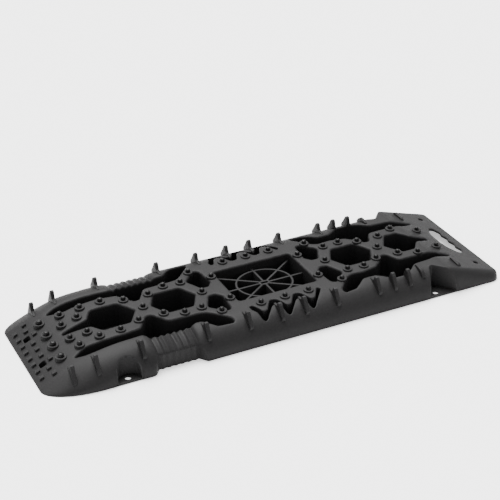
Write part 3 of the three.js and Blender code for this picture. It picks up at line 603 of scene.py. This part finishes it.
def piece_of(name, mesh, material, replaced=(), smooth=35):
    piece = bpy.data.objects.new(name, mesh)
    bpy.context.scene.collection.objects.link(piece)
    settle(piece, smooth)
    piece.data.materials.clear()
    piece.data.materials.append(material)
    if replaced:
        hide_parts(*replaced)
    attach(piece, "root")
    return piece


def ring_of(x, y, radius, count=32):
    angles = np.arange(count) * 2 * math.pi / count
    return [(x + radius * math.cos(a), y + radius * math.sin(a)) for a in angles]


HOLE_Y = 149
TAB_EDGE_Y = HALF_WIDE - 0.3
for side, word in ((1, "left"), (-1, "right")):
    reach = SCOOP_R + 2
    tab = [(SCOOP_X - reach, side * TAB_EDGE_Y), (SCOOP_X + reach, side * TAB_EDGE_Y)]
    tab += [(SCOOP_X + reach * math.cos(a), side * (TAB_EDGE_Y - reach * math.sin(a)))
            for a in np.linspace(0, math.pi, 17)[1:-1]]
    hole = ring_of(SCOOP_X, side * HOLE_Y, LUG_HOLE_R)
    piece_of("front_tab_" + word, plate("front_tab_" + word, [tab, hole], 0, LUG_THICK, LUG_EDGE), nylon,
             ["front_lug_" + word])
    tab = [(NOTCH_X - 2, side * TAB_EDGE_Y), (NOTCH_X + 17, side * 120.5), (NOTCH_X + 26, side * 115.5),
           (NOTCH_X + 70, side * TAB_EDGE_Y)]
    hole = ring_of(NOTCH_X + 21, side * HOLE_Y, LUG_HOLE_R)
    piece_of("rear_tab_" + word, plate("rear_tab_" + word, [tab, hole], 0, LUG_THICK, LUG_EDGE), nylon,
             ["rear_lug_" + word])

# ---------------------------------------------------------------- web in the square recess
# Thin upright walls stiffen the floor: an oval ring, eight spokes and a hub with a slot. They stop a
# little below the deck.
WEB_TOP, WEB_WALL, WEB_EDGE = 41.5, 5, 1.2
RING_LONG, RING_WIDE = 63, 54
HUB_LONG, HUB_WIDE = 14, 9
web = bmesh.new()


def add_wall(loops, high=WEB_TOP):
    part = plate("wall", loops, PAN - 1, high, WEB_EDGE)
    web.from_mesh(part)
    bpy.data.meshes.remove(part)


def oval(long, wide, count=64):
    return [(MID_X + long * math.cos(a), wide * math.sin(a)) for a in np.arange(count) * 2 * math.pi / count]


half = WEB_WALL / 2
add_wall([oval(RING_LONG + half, RING_WIDE + half), oval(RING_LONG - half, RING_WIDE - half)])
END_X, SIDE_Y = 94.5, 65.5
spoke_ends = [(END_X, 0), (END_X, SIDE_Y), (0, SIDE_Y), (-END_X, SIDE_Y), (-END_X, 0), (-END_X, -SIDE_Y),
              (0, -SIDE_Y), (END_X, -SIDE_Y)]
for to_x, to_y in spoke_ends:
    far, way = math.hypot(to_x, to_y), math.atan2(to_y, to_x)
    near = HUB_LONG * HUB_WIDE / math.hypot(HUB_WIDE * math.cos(way), HUB_LONG * math.sin(way)) - 1
    spoke = []
    for run, off in ((near, -half), (far, -half), (far, half), (near, half)):
        spoke.append((MID_X + run * math.cos(way) - off * math.sin(way),
                      run * math.sin(way) + off * math.cos(way)))
    add_wall([spoke], WEB_TOP - 0.15)
HUB_SLOT_LONG, HUB_SLOT_WIDE = 8, 3
add_wall([oval(HUB_LONG, HUB_WIDE, 32), [(MID_X + i * HUB_SLOT_LONG, j * HUB_SLOT_WIDE)
                                         for i, j in ((-1, -1), (1, -1), (1, 1), (-1, 1))]])
web_mesh = bpy.data.meshes.new("recess_web")
web.to_mesh(web_mesh)
web.free()
piece_of("recess_web", web_mesh, nylon, ["centre_web"])

# ---------------------------------------------------------------- studs
# Each stud is a low round collar with a short blunt pin on it, moulded upright with the ribs. The mould
# leaves the pins smooth, and their colour is painted darker than the grained skin as painted shade. Those on
# the nose are the stoutest.
COLLAR_PROFILE = [(0, -7), (10.8, -7), (10.7, 2.5), (10.3, 3.2), (9.5, 3.5), (7.2, 3.4), (6.6, 2.9), (0, 2.9)]
PIN_PROFILE = [(0, -3), (5.3, -3), (5.2, 4.6), (4.95, 7.6), (4.3, 8.9), (3.0, 9.7), (1.5, 10.0), (0, 10.1)]
STUD_SIDES = 28
nose_studs = [(-469, 66.4), (-469, 20.1)]
front_studs = [(-434.5, 26.2), (-426.4, 60.1), (-399.1, 30.3), (-382.7, 57.9), (-337.5, 58.5), (-291.5, 42.4)]
half_studs = [(-236.2, 41.6), (-195.3, 57), (-155.8, 54.7), (-124, 85), (-86.5, 47)]
rear_studs = [(329.5, 42.4), (372.5, 58.5), (434.8, 40.2)]
lobe_studs = [(x, 93) for x in LOBES]
paired = nose_studs + front_studs + half_studs + [(2 * MID_X - x, y) for x, y in half_studs]
paired += rear_studs + lobe_studs
stud_places = [(x, side * y) for x, y in paired for side in (1, -1)]
stud_places += [(MID_X + side * far, 0) for far in (149, 283.5) for side in (1, -1)]


def turned(profile, sides):
    """A closed solid of revolution about Z."""
    body = bmesh.new()
    rings = []
    for radius, z in profile:
        if radius == 0:
            rings.append([body.verts.new((0, 0, z))])
        else:
            rings.append([body.verts.new((radius * math.cos(a), radius * math.sin(a), z))
                          for a in np.arange(sides) * 2 * math.pi / sides])
    for low, high in zip(rings, rings[1:]):
        for i in range(sides):
            j = (i + 1) % sides
            corners = [low[i % len(low)], low[j % len(low)], high[j % len(high)], high[i % len(high)]]
            body.faces.new(list(dict.fromkeys(corners)))
    bmesh.ops.recalc_face_normals(body, faces=body.faces)
    made = bpy.data.meshes.new("turned")
    body.to_mesh(made)
    body.free()
    return made


def spread(name, shape, places, material):
    """Stands one shape on every place by Geometry Nodes. A place is (x, y, z, turn, long, wide, tall)."""
    seed = bpy.data.objects.new(name + "_shape", shape)
    bpy.context.scene.collection.objects.link(seed)
    dots = bpy.data.meshes.new(name)
    dots.from_pydata([p[:3] for p in places], [], [])
    turn = dots.attributes.new("turn", "FLOAT", "POINT")
    turn.data.foreach_set("value", [p[3] for p in places])
    size = dots.attributes.new("size", "FLOAT_VECTOR", "POINT")
    size.data.foreach_set("vector", [v for p in places for v in p[4:7]])
    holder = bpy.data.objects.new(name, dots)
    bpy.context.scene.collection.objects.link(holder)
    tree = bpy.data.node_groups.new(name + "_spread", "GeometryNodeTree")
    face = tree.interface
    face.new_socket("Places", in_out="INPUT", socket_type="NodeSocketGeometry")
    shape_in = face.new_socket("Shape", in_out="INPUT", socket_type="NodeSocketObject")
    growth_in = face.new_socket("Growth", in_out="INPUT", socket_type="NodeSocketFloat")
    finish_in = face.new_socket("Finish", in_out="INPUT", socket_type="NodeSocketMaterial")
    face.new_socket("Result", in_out="OUTPUT", socket_type="NodeSocketGeometry")
    add, link = tree.nodes.new, tree.links.new
    group_in, group_out = add("NodeGroupInput"), add("NodeGroupOutput")
    info, onto, real, coat = (add("GeometryNodeObjectInfo"), add("GeometryNodeInstanceOnPoints"),
                              add("GeometryNodeRealizeInstances"), add("GeometryNodeSetMaterial"))
    turn_of, size_of = add("GeometryNodeInputNamedAttribute"), add("GeometryNodeInputNamedAttribute")
    spin, grow = add("ShaderNodeCombineXYZ"), add("ShaderNodeVectorMath")
    turn_of.data_type, turn_of.inputs["Name"].default_value = "FLOAT", "turn"
    size_of.data_type, size_of.inputs["Name"].default_value = "FLOAT_VECTOR", "size"
    grow.operation = "SCALE"
    link(group_in.outputs["Places"], onto.inputs["Points"])
    link(group_in.outputs["Shape"], info.inputs["Object"])
    link(info.outputs["Geometry"], onto.inputs["Instance"])
    link(turn_of.outputs["Attribute"], spin.inputs["Z"])
    link(spin.outputs["Vector"], onto.inputs["Rotation"])
    link(size_of.outputs["Attribute"], grow.inputs[0])
    link(group_in.outputs["Growth"], grow.inputs["Scale"])
    link(grow.outputs["Vector"], onto.inputs["Scale"])
    link(onto.outputs["Instances"], real.inputs["Geometry"])
    link(real.outputs["Geometry"], coat.inputs["Geometry"])
    link(group_in.outputs["Finish"], coat.inputs["Material"])
    link(coat.outputs["Geometry"], group_out.inputs["Result"])
    many = holder.modifiers.new("spread", "NODES")
    many.node_group = tree
    many[shape_in.identifier] = seed
    many[growth_in.identifier] = 1.0
    many[finish_in.identifier] = material
    made = bpy.data.meshes.new_from_object(holder.evaluated_get(bpy.context.evaluated_depsgraph_get()))
    bpy.data.objects.remove(holder)
    bpy.data.objects.remove(seed)
    bpy.data.node_groups.remove(tree)
    return piece_of(name, made, material)


places = []
for x, y in stud_places:
    slope = float(deck_height(x) - deck_height(x + 1))
    stout = 1.25 if x < -450 else 1
    places.append((x, y, float(deck_height(x)) + 6 * abs(slope), 0, stout ** 0.5, stout ** 0.5, 1))
collar = turned(COLLAR_PROFILE, STUD_SIDES)
# The collar's top edge gets the pale rim mark: painted highlight where it catches the light.
wear_and_highlight_mark = collar.attributes.new("rim", "FLOAT", "POINT")
wear_and_highlight_mark.data.foreach_set("value", [0.5 if 3.1 < v.co.z < 3.3 else 0 for v in collar.vertices])
spread("stud_collars", collar, places, nylon)
# The pins use the same nylon with its colour scaled to 0.45, which is painted shade. The lower roughness is
# their smoother finish.
smooth_nylon_painted_shade = black_nylon("smooth_nylon_painted_shade", 0.45, 0.4)
pin_places = [p[:4] + (p[4] ** 2, p[5] ** 2, 1) for p in places]
spread("stud_pins", turned(PIN_PROFILE, STUD_SIDES), pin_places, smooth_nylon_painted_shade)

# ---------------------------------------------------------------- cleats
# Thirteen upright fins cross each rail. Each has a blunt horn and a back that runs down the shoulder.
# The two over the widest channel start further out, and the last two are low ridges without a horn.
CLEAT_THICK, CLEAT_EDGE = 5.8, 1.3
CLEAT_SWELL = 0.5
# side views as (distance from the centre line, height above the deck), from the inner foot over the top
horn = [(124, 7), (126.3, 13.4), (128.4, 15.2), (134, 15.2), (136.2, 13), (138.5, 8.5), (141.5, 3)]
heel = [(146, -4), (150.5, -10.5), (151.5, -14), (149, -21.5), (139, -14), (128, -8)]
cleat_shapes = {
    "long": [(118, -4.6), (104, -2.2), (106, 0.8), (114, 1.9), (120.5, 3.2)] + horn + heel,
    "short": [(119, -4.6), (121, 1.4)] + horn + heel,
    "low": [(112, -4), (103, -2), (105, 2.2), (109, 4), (122, 4.8), (131, 3.6), (138, -1.5), (143, -8.5),
            (141, -16), (128, -9)],
    "flat": [(97, -3.5), (97, -0.5), (99, 3), (103, 5), (131, 5), (135, 3), (137, -0.5), (137, -3.5)],
}
cleats = [(-466, "long", 1.2), (-418, "long", 1.18), (-322, "long", 1), (-180, "long", 1), (-86, "long", 1),
          (-12, "long", 1), (45, "long", 1), (120, "long", 1), (222, "long", 1), (262, "short", 1),
          (300, "short", 0.95), (337, "low", 1), (434, "flat", 1)]
for kind, side_view in cleat_shapes.items():
    fin = plate("fin", [list(reversed(side_view))], -CLEAT_THICK / 2, CLEAT_THICK / 2, CLEAT_EDGE)
    fin.transform(Matrix(((0, 0, 1, 0), (1, 0, 0, 0), (0, 1, 0, 0), (0, 0, 0, 1))))
    for v in fin.vertices:
        swell = CLEAT_SWELL * min(max((v.co.y - 106) / 26, 0), 1)
        v.co.x += (v.co.x + CLEAT_THICK / 2) * swell
    # Horn tops above 11 mm get the pale rim mark: painted highlight where they catch the light.
    wear_and_highlight_mark = fin.attributes.new("rim", "FLOAT", "POINT")
    wear_and_highlight_mark.data.foreach_set("value", [0.8 if v.co.z > 11 else 0 for v in fin.vertices])
    places = []
    for x, which, tall in cleats:
        if which == kind:
            wide = float(half_width(x)) / HALF_WIDE
            for turn_by in (0, math.pi):
                places.append((x, 0, float(deck_height(x)), turn_by, 1, wide, tall))
    spread("cleats_" + kind, fin, places, nylon)

# ---------------------------------------------------------------- nose teeth
# Two rows of small blocks at the very edge of the nose bite into snow. Their sides are upright, their
# tops rise away from the edge, and they are moulded in one with the nose.
TOOTH_LONG, TOOTH_WIDE, TOOTH_TALL = 9, 9, 5
tooth = plate("tooth", [[(-TOOTH_LONG / 2, -3), (TOOTH_LONG / 2, -3), (TOOTH_LONG / 2, TOOTH_TALL + 1.6),
                         (TOOTH_LONG / 5, TOOTH_TALL + 0.6), (-TOOTH_LONG / 2, TOOTH_TALL - 2)]],
              -TOOTH_WIDE / 2, TOOTH_WIDE / 2, 0.7, 1)
tooth.transform(Matrix(((1, 0, 0, 0), (0, 0, -1, 0), (0, 1, 0, 0), (0, 0, 0, 1))))
teeth = [(-517, side * y) for y in (12, 35, 60, 84) for side in (1, -1)]
teeth += [(x, side * y) for x, y in ((-497, 24), (-486, 49), (-497, 72), (-494, 95)) for side in (1, -1)]
teeth += [(-497, 0)]
spread("nose_teeth", tooth, [(x, y, float(deck_height(x)), 0, 1, 1, 1) for x, y in teeth], nylon)

# ---------------------------------------------------------------- floor, light and camera
# White paper under a broad soft light that stands above the board and somewhat behind it.
# The camera looks down on one long side from beyond the nose.
FLOOR_HALF = 12
floor_mesh = bpy.data.meshes.new("floor")
floor_mesh.from_pydata([(i * FLOOR_HALF, j * FLOOR_HALF, 0) for i, j in ((-1, -1), (1, -1), (1, 1), (-1, 1))],
                       [], [(0, 1, 2, 3)])
floor = bpy.data.objects.new("floor", floor_mesh)
floor.location.z = -0.0005
bpy.context.scene.collection.objects.link(floor)
paper = bpy.data.materials.new("white_paper")
paper.use_nodes = True
surface = paper.node_tree.nodes["Principled BSDF"].inputs
surface["Base Color"].default_value = (0.92, 0.92, 0.92, 1)
surface["Roughness"].default_value = 0.95
surface["Emission Color"].default_value = (1, 1, 1, 1)
surface["Emission Strength"].default_value = 0.6
floor.data.materials.append(paper)

world = bpy.data.worlds.new("studio")
world.use_nodes = True
world.node_tree.nodes["Background"].inputs["Color"].default_value = (1, 1, 1, 1)
world.node_tree.nodes["Background"].inputs["Strength"].default_value = 1.2
bpy.context.scene.world = world

key = bpy.data.objects.new("key_light", bpy.data.lights.new("key_light", "SUN"))
key.data.energy = 10
key.data.angle = math.radians(45)
key.rotation_euler = Vector((0.06, 0.48, 1)).to_track_quat("Z", "Y").to_euler()
bpy.context.scene.collection.objects.link(key)

CAMERA_AT = Vector((-1.1091, -2.1421, 1.5155))
YAW, PITCH, ROLL = (math.radians(a) for a in (-27.017, 29.939, 0.430))
SENSOR, LENS = 36, 94.38
look = Vector((-math.sin(YAW) * math.cos(PITCH), math.cos(YAW) * math.cos(PITCH), -math.sin(PITCH)))
level = Vector((math.cos(YAW), math.sin(YAW), 0))
rise = level.cross(look)
across = level * math.cos(ROLL) + rise * math.sin(ROLL)
upward = rise * math.cos(ROLL) - level * math.sin(ROLL)
camera = bpy.data.objects.new("camera", bpy.data.cameras.new("camera"))
camera.data.lens, camera.data.sensor_width = LENS, SENSOR
camera.matrix_world = Matrix.Translation(CAMERA_AT) @ Matrix((across, upward, -look)).transposed().to_4x4()
bpy.context.scene.collection.objects.link(camera)
bpy.context.scene.camera = camera
